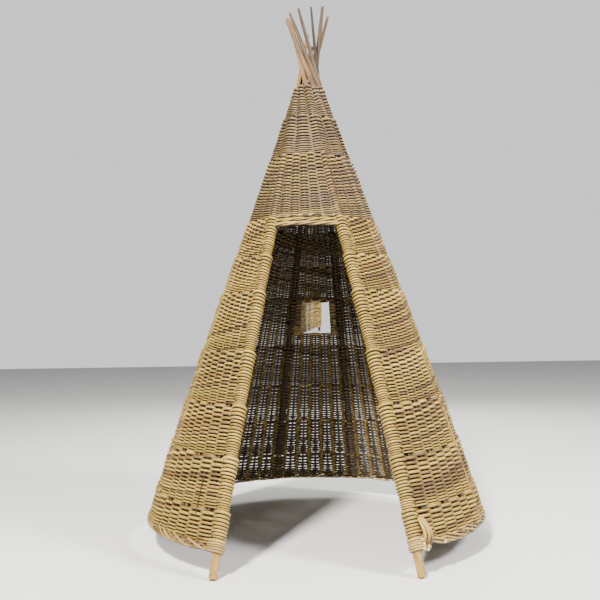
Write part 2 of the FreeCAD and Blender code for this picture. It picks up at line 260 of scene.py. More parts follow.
def weaveTree():
    t = Tree("wovenBand")
    courses = t.input("Courses", "Int")
    perBay = t.input("Intervals per bay", "Int")
    doorIntervals = t.input("Intervals over doorway", "Int")
    finePoints = t.input("Points per interval", "Int")
    low, high, thin, thick = t.inputs("Bottom height", "Top height", "Thin radius", "Thick radius")
    stake, pole, wobble, spiral = t.inputs("Stake radius", "Pole radius", "Wobble", "Spiral")
    gapFrom, gapTo, gapLow, gapHigh = t.inputs("Window from", "Window to", "Window bottom", "Window top")
    weathering = t.input("Weathering")
    seed = t.input("Seed", "Int")
    material = t.input("Material", "Material")

    total = perBay * float(line["bays"]) + doorIntervals
    shape = t.rows(total * finePoints + 1.0, courses)
    x, y, _ = t.place()
    k = x / finePoints
    q = (y + 0.5 + (k / total - 0.5) * spiral) / courses
    size, share = bandSize(q, thin, thick)
    height = low + (high - low) * share
    segment = (k + 0.5).math("FLOOR")
    rod = segment - y + 400.0
    lively = t.noise(k * 0.31, y * 0.83, seed * 1.7, 1.0, 2.0)
    height = height + lively * wobble * 2.0 + t.noise(k * 0.055, y * 0.11, seed * 2.3) * wobble * 3.0
    size = size * (t.random(rod, seed, 0.86, 1.16) + t.noise(k * 0.9, y * 3.1, 4.0) * 0.12)
    heading = headingOf(k, perBay, doorIntervals)
    nearest = (k.math("MINIMUM", perBay * float(line["bays"])) / perBay).math("ROUND") * perBay
    away = (k - nearest).math("ABSOLUTE").math("MINIMUM", (total - k).math("ABSOLUTE")).clamped()
    overPole = 1.0 - away * away * (3.0 - away * 2.0)
    swing = stake + (pole - stake) * overPole + size * (0.58 + t.noise(k * 0.7, y * 1.9, 9.0) * 0.3)
    wave = ((k + y) * math.pi).math("COSINE")
    at = wallFrame(t, heading, height)

    atDoor = (0.42 - k).math("MAXIMUM", k - total + 0.42).math("GREATER_THAN", 0.0)
    atDoor = atDoor * (1.0 - doorIntervals.math("MINIMUM", 1.0))
    inWindow = (k.math("GREATER_THAN", gapFrom) * k.math("LESS_THAN", gapTo)
                * height.math("GREATER_THAN", gapLow) * height.math("LESS_THAN", gapHigh))
    shape = t.keep(shape, "tone", t.random(rod, seed + 7.0))
    shape = t.keep(shape, "grey", t.noise(k * 0.05, y * 0.12, seed * 3.1, 1.6, 2.0) * 0.18 + weathering + 0.5)
    shape = t.keep(shape, "drop", atDoor.math("MAXIMUM", inWindow))
    # painted shade: the parts of a rod that dive behind the stakes are darkened in the material, standing in
    # for the shadow between the rods
    shape = t.keep(shape, "recessShade", (0.42 - wave).clamped())
    t.rods(shape, offPoint(t, at, out=wave * swing), size, 6, material, parted=True)
    return t.tree


def wrapTree():
    t = Tree("postWrap")
    wraps = t.input("Wraps", "Int")
    low, high, thin, thick = t.inputs("Bottom height", "Top height", "Thin radius", "Thick radius")
    azimuth, side, post, tail = t.inputs("Azimuth", "Side", "Post radius", "Tail")
    seed = t.input("Seed", "Int")
    material = t.input("Material", "Material")
    shape = t.rows(18, wraps, ring=True)
    cosine, sine, y = t.place()
    y = (y + 0.5).math("FLOOR")
    q = (y + 0.5) / wraps
    size, share = bandSize(q, thin, thick)
    size = size * t.random(y, seed, 0.9, 1.1)
    height = low + (high - low) * share
    heading = azimuth + t.number(baseTurn)
    at = wallFrame(t, heading, height)
    ring = post + size * 0.94
    forward = cosine.math("MAXIMUM", 0.0)
    backward = cosine.math("MINIMUM", 0.0)
    along = (forward * (tail * t.random(y, seed + 3.0, 0.75, 1.2)) + backward * ring) * side
    out = sine * ring * (1.0 - forward * forward * 0.55)
    lift = forward * t.random(y, seed + 5.0, -1.0, 1.0) * size * 0.9 + sine * size * 0.55
    shape = t.keep(shape, "tone", t.random(y, seed + 11.0, 0.34, 0.94))
    shape = t.keep(shape, "grey", t.random(y, seed + 13.0, 0.3, 0.6))
    t.rods(shape, offPoint(t, at, out=out, round=along, up=lift), size, 7, material)
    return t.tree


def borderTree():
    t = Tree("rolledBorder")
    rodCount = t.input("Rods", "Int")
    intervals = t.input("Intervals", "Int")
    low, high, size, reach = t.inputs("Bottom height", "Top height", "Rod radius", "Rods passed")
    bulge = t.input("Bulge")
    seed = t.input("Seed", "Int")
    material = t.input("Material", "Material")
    finePoints = 16
    shape = t.rows(finePoints, rodCount)
    x, y, _ = t.place()
    s = x / float(finePoints - 1)
    k = y * intervals / rodCount + s * reach
    down = (s * 1.7).clamped()
    height = high + (low - high) * down * down * (3.0 - down * 2.0)
    curlUp = (s - 0.75).math("MAXIMUM", 0.0) * (high - low) * 1.4
    height = height + curlUp + t.random(y, seed, -0.0012, 0.0012)
    out = (s * math.pi * 1.22).math("SINE") * bulge - 0.004
    radius = size * t.random(y, seed + 2.0, 0.82, 1.12) * (1.05 - s * 0.25)
    heading = headingOf(k, intervals / float(line["bays"]), t.number(0.0))
    at = wallFrame(t, heading, height)
    shape = t.shades(shape, y, seed)
    shape = t.keep(shape, "drop", k.math("GREATER_THAN", intervals - 0.15))
    shape = t.keep(shape, "cut", ((s - 0.95) * 40.0).clamped())
    t.rods(shape, offPoint(t, at, out=out), radius, 8, material, parted=True)
    return t.tree


def twistTree():
    t = Tree("twistedRods")
    rodCount = t.input("Rods", "Int")
    fromAzimuth, toAzimuth, height, size = t.inputs("From azimuth", "To azimuth", "Height", "Rod radius")
    turns, sag, out = t.inputs("Turns", "Sag", "Stand-off")
    seed = t.input("Seed", "Int")
    material = t.input("Material", "Material")
    finePoints = 64
    shape = t.rows(finePoints, rodCount)
    x, y, _ = t.place()
    s = x / float(finePoints - 1)
    angle = (s * turns + y / rodCount) * (2.0 * math.pi)
    heading = fromAzimuth + (toAzimuth - fromAzimuth) * s + baseTurn
    level = height + t.noise(s * 3.0, y * 5.0, seed * 1.0) * sag
    at = wallFrame(t, heading, level)
    ring = size * 0.92
    shape = t.shades(shape, y, seed)
    radius = size * (1.0 + t.noise(s * 4.0, y * 3.0, seed * 2.0) * 0.25)
    position = offPoint(t, at, out=angle.math("COSINE") * ring + out, up=angle.math("SINE") * ring)
    t.rods(shape, position, radius, 9, material)
    return t.tree


def fanTree():
    t = Tree("uprightFan")
    rodCount = t.input("Rods", "Int")
    finePoints = t.input("Points per rod", "Int")
    first, step = t.inputs("First azimuth", "Step")
    skip = t.input("Skip every", "Int")
    low, high, tallHigh = t.inputs("Bottom height", "Top height", "Tall top height")
    lowRadius, highRadius, wander, gapLow = t.inputs("Bottom radius", "Top radius", "Wander", "Gap bottom")
    gapHigh, gapFrom, gapTo = t.inputs("Gap top", "Gap from rod", "Gap to rod")
    seed = t.input("Seed", "Int")
    material = t.input("Material", "Material")
    shape = t.rows(finePoints, rodCount)
    x, y, _ = t.place()
    s = x / (finePoints - 1.0)
    placeInBay = y.math("MODULO", skip)
    tall = (placeInBay - 3.0).math("ABSOLUTE").math("COMPARE", 1.0, 0.1)
    height = low + (high + (tallHigh - high) * tall - low) * s
    radius = (lowRadius + (highRadius - lowRadius) * s) * t.random(y, seed, 0.9, 1.1)
    at = wallFrame(t, first + step * y + baseTurn, height)
    skipped = placeInBay.math("LESS_THAN", 0.5) * skip.math("GREATER_THAN", 1.5)
    inGap = (height.math("GREATER_THAN", gapLow) * height.math("LESS_THAN", gapHigh)
             * y.math("GREATER_THAN", gapFrom) * y.math("LESS_THAN", gapTo))
    shape = t.shades(shape, y, seed, 0.2, 0.8)
    shape = t.keep(shape, "drop", skipped.math("MAXIMUM", inGap))
    drift = t.noise(height * 2.1, y * 7.7, seed * 1.3) * wander
    lean = t.noise(height * 2.1, y * 7.7, seed * 1.3 + 40.0) * wander
    t.rods(shape, offPoint(t, at, out=lean * 0.4, round=drift), radius, 8, material, parted=True)
    return t.tree


def poleTree():
    t = Tree("leaningPole")
    azimuth, low, high, floor = t.inputs("Azimuth", "Bottom height", "Tip height", "Bottom radius")
    rim, waist, tip, wander, knots = t.inputs("Rim radius", "Waist radius", "Tip radius", "Wander", "Knots")
    tone = t.input("Tone")
    seed = t.input("Seed", "Int")
    material = t.input("Material", "Material")
    finePoints = 150
    shape = t.rows(finePoints, 1)
    x, _, _ = t.place()
    s = x / float(finePoints - 1)
    height = low + (high - low) * s
    toRim = (height / line["footHeight"]).clamped()
    toWaist = ((height - line["footHeight"]) / (line["waistHeight"] - line["footHeight"])).clamped()
    toTip = ((height - line["waistHeight"]) / (high - line["waistHeight"])).clamped()
    radius = floor + (rim - floor) * toRim + (waist - rim) * toWaist + (tip - waist) * toTip
    bump = t.noise(height * 9.0, seed * 3.7, 0.5, 1.0, 0.0).math("MAXIMUM", 0.16) - 0.16
    radius = radius * (1.0 + bump * knots * 2.2 + t.noise(height * 30.0, seed * 1.9, 2.0) * 0.05)
    endRound = ((high - height) / 0.004).clamped().math("SQRT") * 0.12 + 0.88
    at = wallFrame(t, azimuth + baseTurn, height)
    free = ((height - line["footHeight"]) / 0.15).clamped()
    drift = t.noise(height * 3.1, seed * 5.3, 1.0) * wander * free
    lean = t.noise(height * 3.1, seed * 5.3, 31.0) * wander * free
    barer = ((0.4 - height) * 4.0).clamped()
    shape = t.keep(shape, "tone", tone + (0.92 - tone) * barer)
    shape = t.keep(shape, "grey", t.noise(height * 2.5, seed * 4.0, 7.0) + 0.5)
    t.rods(shape, offPoint(t, at, out=lean, round=drift), radius * endRound, 14, material)
    return t.tree


def bentRodTree():
    t = Tree("bentRod")
    start = t.input("Start", "Vector")
    middle = t.input("Middle", "Vector")
    end = t.input("End", "Vector")
    startRadius, endRadius, tone, cut = t.inputs("Start radius", "End radius", "Tone", "Cut end")
    seed = t.input("Seed", "Int")
    material = t.input("Material", "Material")
    curve = t.node("GeometryNodeCurveQuadraticBezier", {
        "Resolution": 26, "Start": start, "Middle": middle, "End": end}).outputs[0]
    factor = Number(t.tree, t.node("GeometryNodeSplineParameter").outputs["Factor"])
    uneven = 1.0 + t.noise(factor * 6.0, seed * 3.1, 1.0) * 0.14
    radius = (startRadius + (endRadius - startRadius) * factor) * uneven
    curve = t.keep(curve, "rodRadius", radius)
    curve = t.keep(curve, "tone", tone)
    curve = t.keep(curve, "cut", ((factor - 0.93) * 40.0).clamped() * cut)
    curve = t.keep(curve, "grey", t.noise(factor * 3.0, seed * 1.1, 5.0) + 0.5)
    t.sweep(curve, 10, material)
    return t.tree


def flatWeaveTree():
    # rods woven round the stiles and the middle stake of a panel that stands in the x-z plane
    t = Tree("flatWeave")
    courses = t.input("Courses", "Int")
    width, low, high, size, stake = t.inputs("Width", "Bottom", "Top", "Rod radius", "Upright radius")
    middle = t.input("Middle radius")
    seed = t.input("Seed", "Int")
    material = t.input("Material", "Material")
    finePoints = 33
    shape = t.rows(finePoints, courses)
    x, y, _ = t.place()
    k = x / float(finePoints - 1) * 2.0
    edge = (k - 1.0).math("ABSOLUTE")
    upright = middle + (stake - middle) * edge
    radius = size * t.random(y, seed, 0.85, 1.12)
    wave = ((k + y) * math.pi).math("COSINE") * (upright * 0.8 + size * 0.7)
    lift = t.noise(k * 0.6, y * 0.9, seed * 1.0) * size * 0.8
    z = low + (high - low) * (y + 0.5) / courses + lift
    shape = t.shades(shape, y, seed)
    t.rods(shape, t.vector(k * 0.5 * width, wave, z), radius, 7, material)
    return t.tree


def ringStackTree():
    # closed turns of rod round an upright that stands at x, along z
    t = Tree("ringStack")
    turns = t.input("Turns", "Int")
    at, low, high, size, upright = t.inputs("At", "Bottom", "Top", "Rod radius", "Upright radius")
    side, tail = t.inputs("Side", "Tail")
    seed = t.input("Seed", "Int")
    material = t.input("Material", "Material")
    shape = t.rows(14, turns, ring=True)
    cosine, sine, y = t.place()
    y = (y + 0.5).math("FLOOR")
    radius = size * t.random(y, seed, 0.9, 1.1)
    ring = upright + radius * 0.95
    forward = cosine.math("MAXIMUM", 0.0)
    x = at + (cosine.math("MINIMUM", 0.0) * ring + forward * tail) * side
    depth = sine * ring * (1.0 - forward * forward * 0.5)
    z = low + (high - low) * (y + 0.5) / turns + sine * size * 0.5
    z = z + forward * t.random(y, seed + 2.0, -1.0, 1.0) * size
    shape = t.shades(shape, y, seed)
    t.rods(shape, t.vector(x, depth, z), radius, 7, material)
    return t.tree


def link(thing):
    bpy.context.scene.collection.objects.link(thing)


def grow(name, tree, values):
    # runs a tree and returns what it makes as one plain mesh object
    shell = bpy.data.objects.new("shell", bpy.data.meshes.new("shell"))
    link(shell)
    modifier = shell.modifiers.new("grow", "NODES")
    modifier.node_group = tree
    for item in tree.interface.items_tree:
        if item.item_type == "SOCKET" and item.in_out == "INPUT":
            modifier[item.identifier] = values[item.name]
    bpy.context.view_layer.update()
    mesh = bpy.data.meshes.new_from_object(shell.evaluated_get(bpy.context.evaluated_depsgraph_get()))
    shell.modifiers.clear()
    bpy.data.objects.remove(shell)
    mesh.name = name
    made = bpy.data.objects.new(name, mesh)
    link(made)
    return made


def joined(name, pieces):
    # one object from several, which keep their attributes
    with bpy.context.temp_override(active_object=pieces[0], selected_editable_objects=pieces):
        bpy.ops.object.join()
    pieces[0].name = name
    pieces[0].data.name = name
    return pieces[0]


# ---- materials
def shaderGroup(name, inputs, outputs):
    group = bpy.data.node_groups.new(name, "ShaderNodeTree")
    for label, kind, value in inputs:
        socket = group.interface.new_socket(label, in_out="INPUT", socket_type="NodeSocket" + kind)
        socket.default_value = value
    for label, kind in outputs:
        group.interface.new_socket(label, in_out="OUTPUT", socket_type="NodeSocket" + kind)
    into = group.nodes.new("NodeGroupInput")
    out = group.nodes.new("NodeGroupOutput")
    return group, into, out


def shaderNode(tree, kind, values=None, **settings):
    made = tree.nodes.new(kind)
    for key, value in settings.items():
        setattr(made, key, value)
    for key, value in (values or {}).items():
        put(tree, made.inputs[key], value)
    return made


def barkGroup():
    # streaks, specks and buds of thin bark, in the rod's own directions
    group, into, out = shaderGroup(
        "willowBark",
        [(label, "Float", 0.0) for label in ("Along", "Around", "Shift", "Streaks")],
        [("Shade", "Float"), ("Specks", "Float"), ("Height", "Float")])
    along = Number(group, into.outputs["Along"])
    around = Number(group, into.outputs["Around"])
    shift = Number(group, into.outputs["Shift"])
    ringX = (around * (2.0 * math.pi)).math("SINE")
    ringY = (around * (2.0 * math.pi)).math("COSINE")

    def noise(lengthwise, crosswise, detail):
        vector = shaderNode(group, "ShaderNodeCombineXYZ", {
            0: along * lengthwise + shift * 31.0, 1: ringX * crosswise, 2: ringY * crosswise}).outputs[0]
        made = shaderNode(group, "ShaderNodeTexNoise", {"Vector": vector, "Scale": 1.0, "Detail": detail})
        return Number(group, made.outputs[0])

    streak = noise(30.0, 2.2, 3.0)
    slow = noise(6.0, 0.4, 2.0)
    spots = noise(260.0, 4.5, 1.0)
    bud = noise(24.0, 0.7, 0.0)
    shade = (streak - 0.5) * 0.9 + (slow - 0.5) * 0.8
    specks = ((spots - 0.60) * 9.0).clamped() * 0.6 + ((bud - 0.72) * 14.0).clamped()
    put(group, out.inputs["Shade"], shade * Number(group, into.outputs["Streaks"]))
    put(group, out.inputs["Specks"], specks.clamped())
    put(group, out.inputs["Height"], streak * 0.6 + spots * 0.25 + bud * 0.3)
    return group


def attribute(tree, name):
    made = tree.nodes.new("ShaderNodeAttribute")
    made.attribute_name = name
    return Number(tree, made.outputs["Fac"])


def ramp(tree, factor, stops):
    made = tree.nodes.new("ShaderNodeValToRGB")
    elements = made.color_ramp.elements
    while len(elements) > 1:
        elements.remove(elements[-1])
    for number, (place, colour) in enumerate(stops):
        element = elements[0] if number == 0 else elements.new(place)
        element.position = place
        element.color = colour + (1.0,)
    put(tree, made.inputs[0], factor)
    return made.outputs[0]


def mix(tree, kind, factor, a, b):
    made = tree.nodes.new("ShaderNodeMix")
    made.data_type = "RGBA"
    made.blend_type = kind
    put(tree, made.inputs[0], factor)
    put(tree, made.inputs[6], a)
    put(tree, made.inputs[7], b)
    return made.outputs[2]


def paintedShadeGroup():
    # Masks for painted shade. Inside: 1 where a face looks in towards the axis, below the poles' crossing and
    # less near the ground, for the painted shade of the dim inside.
    # Under: 1 where a face looks down the wall's slope, or straight at the rod above it, for painted shade
    # under each rod and where it meets its neighbour.
    group, into, out = shaderGroup(
        "paintedShadeMasks", [("Position", "Vector", (0.0, 0.0, 0.0)), ("Normal", "Vector", (0.0, 0.0, 1.0))],
        [("Inside", "Float"), ("UnderShade", "Float")])
    place = shaderNode(group, "ShaderNodeSeparateXYZ", {0: into.outputs["Position"]})
    x, y, z = [Number(group, place.outputs[n]) for n in range(3)]
    faces = shaderNode(group, "ShaderNodeSeparateXYZ", {0: into.outputs["Normal"]})
    normalX, normalY, normalZ = [Number(group, faces.outputs[n]) for n in range(3)]
    away = (x * normalX + y * normalY) / (x * x + y * y).math("SQRT")
    belowTop = ((line["wallTop"] - z) * 30.0).clamped()
    depth = ((z - 0.30) * 2.2).clamped() * 0.5 + 0.5
    put(group, out.inputs["Inside"], (away * -1.5).clamped() * belowTop * depth)
    slope = math.atan(upperLean)
    upward = normalZ * math.cos(slope) - away * math.sin(slope)
    seamAbove = ((upward - 0.80) * 4.0).clamped()
    put(group, out.inputs["UnderShade"], ((upward * -1.0 - 0.12) * 1.5).clamped().math("MAXIMUM", seamAbove))
    return group


def barkMaterial(name, look):
    material = bpy.data.materials.new(name)
    material.use_nodes = True
    tree = material.node_tree
    shader = tree.nodes["Principled BSDF"]
    tone = attribute(tree, "tone")
    grey = attribute(tree, "grey")
    grain = shaderNode(tree, "ShaderNodeGroup", {
        "Along": attribute(tree, "along"), "Around": attribute(tree, "around"), "Shift": tone,
        "Streaks": look["streaks"]}, node_tree=bark)
    shade = Number(tree, grain.outputs["Shade"])
    colour = ramp(tree, (tone + shade * 0.30).clamped(), look["colours"])
    weathered = ((grey - look["greyFrom"]) * 5.0).clamped() * look["greyShare"]
    colour = mix(tree, "MIX", weathered, colour, look["greyColour"] + (1.0,))
    light = (shade * 0.55 + 1.0).clamped(0.4, 1.6)
    lightness = shaderNode(tree, "ShaderNodeCombineColor", {0: light, 1: light, 2: light}).outputs[0]
    colour = mix(tree, "MULTIPLY", 1.0, colour, lightness)
    # painted shade: the colour goes to a near-black brown on the parts of rods behind the stakes, on faces
    # that look in towards the axis and under each rod; seen from inside, the rods' outer parts are shaded
    # less and so show as lighter glints
    places = tree.nodes.new("ShaderNodeTexCoord")
    shadeMasks = shaderNode(tree, "ShaderNodeGroup", {
        "Position": places.outputs["Object"], "Normal": places.outputs["Normal"]}, node_tree=paintedShadeMasks)
    recessShade = attribute(tree, "recessShade")
    insideShadeStrength = recessShade * (1.0 - look["insideShadeShare"]) + look["insideShadeShare"]
    insideShade = Number(tree, shadeMasks.outputs["Inside"]) * insideShadeStrength
    underShade = Number(tree, shadeMasks.outputs["UnderShade"]) * look["underShadeShare"]
    paintedShade = (recessShade * look["recessShadeShare"]).math("MAXIMUM", insideShade).math("MAXIMUM", underShade)
    colour = mix(tree, "MIX", paintedShade, colour, look["paintedShadeColour"] + (1.0,))
    colour = mix(tree, "MIX", attribute(tree, "cut"), colour, look["cutColour"] + (1.0,))
    specks = Number(tree, grain.outputs["Specks"]) * look["specks"]
    colour = mix(tree, "MIX", specks, colour, look["speckColour"] + (1.0,))
    put(tree, shader.inputs["Base Color"], colour)
    put(tree, shader.inputs["Roughness"], (shade * 0.25 + look["roughness"]).clamped(0.2, 0.95))
    shader.inputs["Specular IOR Level"].default_value = look["specular"]
    bump = shaderNode(tree, "ShaderNodeBump", {
        "Height": Number(tree, grain.outputs["Height"]), "Distance": look["bumpDepth"], "Strength": 0.7})
    put(tree, shader.inputs["Normal"], bump.outputs[0])
    return material


willowLook = dict(
    colours=[(0.0, (0.090, 0.048, 0.014)), (0.10, (0.170, 0.095, 0.022)), (0.30, (0.290, 0.175, 0.030)),
             (0.52, (0.430, 0.275, 0.046)), (0.70, (0.330, 0.245, 0.038)), (0.86, (0.580, 0.390, 0.085)),
             (1.0, (0.310, 0.160, 0.036))],
    greyFrom=0.60, greyShare=0.74, greyColour=(0.115, 0.082, 0.060), streaks=1.2, specks=0.6,
    speckColour=(0.07, 0.040, 0.02), roughness=0.42, specular=0.55, bumpDepth=0.0006,
    # painted shade: how strongly rods are darkened behind the stakes, under their neighbours and on faces
    # that look inside, and the near-black colour laid there
    recessShadeShare=0.95, underShadeShare=0.90, insideShadeShare=0.22, paintedShadeColour=(0.022, 0.010, 0.002),
    cutColour=(0.80, 0.66, 0.42))
shutterLook = dict(willowLook, insideShadeShare=0.0)
edgeLook = dict(willowLook, colours=[(0.0, (0.130, 0.070, 0.020)), (0.35, (0.310, 0.190, 0.045)),
                                     (0.7, (0.520, 0.350, 0.095)), (1.0, (0.360, 0.200, 0.055))])
# the stakes' dark colours are partly their own bark and partly painted shade for where they stand between the
# rods; their faces that look inside get strong painted shade
stakeLook = dict(willowLook, greyShare=0.2, insideShadeShare=0.8,
                 colours=[(0.0, (0.045, 0.024, 0.010)), (0.5, (0.120, 0.068, 0.024)),
                          (1.0, (0.230, 0.140, 0.048))])
poleLook = dict(
    colours=[(0.0, (0.030, 0.028, 0.031)), (0.25, (0.085, 0.060, 0.036)), (0.5, (0.165, 0.092, 0.045)),
             (0.75, (0.270, 0.155, 0.058)), (1.0, (0.500, 0.305, 0.080))],
    greyFrom=0.5, greyShare=0.35, greyColour=(0.17, 0.125, 0.075), streaks=1.7, specks=1.0,
    speckColour=(0.10, 0.055, 0.035), roughness=0.70, specular=0.25, bumpDepth=0.0012,
    # painted shade on the faces of the poles that look in towards the axis
    recessShadeShare=0.0, underShadeShare=0.0, insideShadeShare=0.70, paintedShadeColour=(0.045, 0.022, 0.008),
    cutColour=(0.70, 0.55, 0.34))


print("stage: materials")
bark = barkGroup()
paintedShadeMasks = paintedShadeGroup()
willow = barkMaterial("willowRod", willowLook)
shutterWillow = barkMaterial("shutterRod", shutterLook)
edgeWillow = barkMaterial("edgeRod", edgeLook)
darkWillow = barkMaterial("stakeRod", stakeLook)
poleBark = barkMaterial("poleBark", poleLook)

# ---- the woven wall
# radii run from the wall's foot to its top; thin rods start each band and thick ones end it
weave = dict(pointsPerInterval=6, wobble=0.0011, pitch=1.33, thinRadius=(0.0030, 0.0026),
             thickRadius=(0.0062, 0.0056), stakeRadius=(0.0046, 0.0032), poleRadius=(0.0145, 0.0076),
             topOverrun=0.010, seed=3)
postWrap = dict(spread=1.05, slimness=0.90, tail=0.027)
bandCount = 10
intervals = {8: (3, 6), 9: (1, 2), 10: (1, 2)}   # in a bay and over the doorway
lowerIntervals = (6, 0)                          # the same for the bands beside the doorway
weathering = {6: 0.03, 7: 0.06, 8: 0.25, 9: 0.27, 10: 0.30}
window = dict(bay=5, fromStake=1, toStake=5, margin=0.28, bottom=0.708, top=0.836)
body = "wigwam"
weaver = weaveTree()
wrapper = wrapTree()
slope = math.hypot(1.0, upperLean)


def upShare(height):
    return (height - line["footHeight"]) / (line["wallTop"] - line["footHeight"])


def bandLevels(number):
    low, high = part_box(f"weave_band_{number:02d}")
    return low.z, high.z


def bandRods(number):
    low, high = bandLevels(number)
    share = upShare((low + high) / 2.0)
    return between(*weave["thinRadius"], share), between(*weave["thickRadius"], share)


def wovenBand(number):
    low, high = bandLevels(number)
    thin, thick = bandRods(number)
    perBay, overDoor = intervals.get(number, lowerIntervals)
    share = upShare((low + high) / 2.0)
    firstStake = (window["bay"] - 1) * perBay
    high += weave["topOverrun"] * (number == bandCount)
    values = {
        "Courses": round((high - low) * slope / (weave["pitch"] * (thin + thick) / 2.0)),
        "Intervals per bay": perBay, "Intervals over doorway": overDoor,
        "Points per interval": weave["pointsPerInterval"],
        "Bottom height": low, "Top height": high, "Thin radius": thin, "Thick radius": thick,
        "Stake radius": between(*weave["stakeRadius"], share),
        "Pole radius": between(*weave["poleRadius"], share), "Wobble": weave["wobble"],
        "Spiral": 1.0 if overDoor else 0.0,
        "Window from": firstStake + window["fromStake"] + window["margin"],
        "Window to": firstStake + window["toStake"] - window["margin"],
        "Window bottom": window["bottom"], "Window top": window["top"],
        "Weathering": weathering.get(number, 0.0), "Seed": weave["seed"] + number, "Material": willow}
    piece = grow(f"wovenBand{number}", weaver, values)
    if not overDoor:
        wraps = [grow("wrap", wrapper, {
            "Wraps": round((high - low) * slope / ((thin + thick) * postWrap["spread"])),
            "Bottom height": low, "Top height": high,
            "Thin radius": thin * postWrap["slimness"], "Thick radius": thick * postWrap["slimness"],
            "Azimuth": doorHalf * side, "Side": side,
            "Post radius": between(*weave["poleRadius"], share), "Tail": postWrap["tail"],
            "Seed": seed + number, "Material": willow}) for side, seed in ((1.0, 40), (-1.0, 70))]
        piece = joined(piece.name, [piece] + wraps)
    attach(piece, body)
    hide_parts(f"weave_band_{number:02d}")
    return len(piece.data.polygons)


faces = [wovenBand(number) for number in range(1, bandCount + 1)]
print("stage: woven bands", faces)

# ---- poles and stakes
poles = dict(
    door_post_right=dict(waist=0.0076, tip=0.0062, tone=0.62, knots=0.7, wander=0.006),
    frame_pole_1=dict(waist=0.0084, tip=0.0070, tone=0.44, knots=0.6, wander=0.005),
    frame_pole_2=dict(waist=0.0074, tip=0.0046, tone=0.36, knots=0.4, wander=0.004),
    frame_pole_3=dict(waist=0.0072, tip=0.0042, tone=0.26, knots=0.4, wander=0.004),
    frame_pole_4=dict(waist=0.0064, tip=0.0032, tone=0.04, knots=0.4, wander=0.004),
    frame_pole_5=dict(waist=0.0072, tip=0.0046, tone=0.22, knots=0.5, wander=0.005),
    frame_pole_6=dict(waist=0.0066, tip=0.0042, tone=0.52, knots=0.8, wander=0.003),
    frame_pole_7=dict(waist=0.0056, tip=0.0028, tone=0.50, knots=0.5, wander=0.004),
    frame_pole_8=dict(waist=0.0062, tip=0.0050, tone=0.42, knots=0.5, wander=0.003),
    door_post_left=dict(waist=0.0066, tip=0.0050, tone=0.74, knots=0.5, wander=0.004))
stakes = dict(perBay=5, radius=(0.0046, 0.0032), wander=0.003, tall=(2, 4))
overDoor = dict(rods=5, toTop=3, top=1.332, radius=(0.0037, 0.0034), wander=0.002)
noGap = 9.0   # a height above the whole object
stouter = 1.10    # bark makes the free ends look thicker than the wood
tipInset = 0.35   # a leaning tip's edge stands this share of its radius above its middle
onFloor = 0.01    # a pole that starts lower than this stands on the floor
poleMaker = poleTree()


def poleAzimuth(number):
    return doorHalf + number * bayAngle


for number, (name, look) in enumerate(poles.items()):
    low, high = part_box(name)
    footInset = poleSizes["floor"] * math.sin(math.atan(lowerLean)) * (low.z < onFloor)
    piece = grow(name.title().replace("_", ""), poleMaker, {
        "Azimuth": poleAzimuth(number), "Bottom height": low.z + footInset,
        "Tip height": high.z - look["tip"] * tipInset, "Bottom radius": poleSizes["floor"],
        "Rim radius": poleSizes["rim"], "Waist radius": look["waist"] * stouter,
        "Tip radius": look["tip"] * stouter, "Wander": look["wander"], "Knots": look["knots"],
        "Tone": look["tone"], "Seed": number + 1, "Material": poleBark})
    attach(piece, body)
    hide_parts(name)
print("stage: poles")

fan = fanTree()
bayIntervals = stakes["perBay"] + 1
step = bayAngle / bayIntervals
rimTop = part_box("base_border")[1].z
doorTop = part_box("weave_band_07")[1].z
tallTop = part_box("weave_band_08")[1].z
wallStakes = grow("wallStakes", fan, {
    "Rods": line["bays"] * bayIntervals, "Points per rod": 60,
    "First azimuth": doorHalf, "Step": step, "Skip every": bayIntervals,
    "Bottom height": rimTop, "Top height": doorTop, "Tall top height": tallTop,
    "Bottom radius": stakes["radius"][0], "Top radius": stakes["radius"][1], "Wander": stakes["wander"],
    "Gap bottom": window["bottom"], "Gap top": window["top"],
    "Gap from rod": (window["bay"] - 1) * bayIntervals + window["fromStake"] + 0.5,
    "Gap to rod": (window["bay"] - 1) * bayIntervals + window["toStake"] - 0.5,
    "Seed": 5, "Material": darkWillow})
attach(wallStakes, body)
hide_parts(*[f"stakes_bay_{bay}" for bay in range(1, line["bays"] + 1)])

doorFan = []
for first, count, top in ((1, overDoor["rods"], overDoor["top"]), (overDoor["toTop"], 1, line["wallTop"])):
    doorFan.append(grow("doorFan", fan, {
        "Rods": count, "Points per rod": 30,
        "First azimuth": doorAngle * (first / (overDoor["rods"] + 1) - 0.5),
        "Step": doorAngle / (overDoor["rods"] + 1), "Skip every": 1,
        "Bottom height": doorTop, "Top height": top, "Tall top height": top,
        "Bottom radius": overDoor["radius"][0], "Top radius": overDoor["radius"][1],
        "Wander": overDoor["wander"], "Gap bottom": noGap, "Gap top": noGap,
        "Gap from rod": 0.0, "Gap to rod": 0.0, "Seed": 8, "Material": darkWillow}))
doorStakes = joined("stakesOverDoorway", doorFan)
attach(doorStakes, body)
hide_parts("stakes_over_door")
print("stage: stakes")

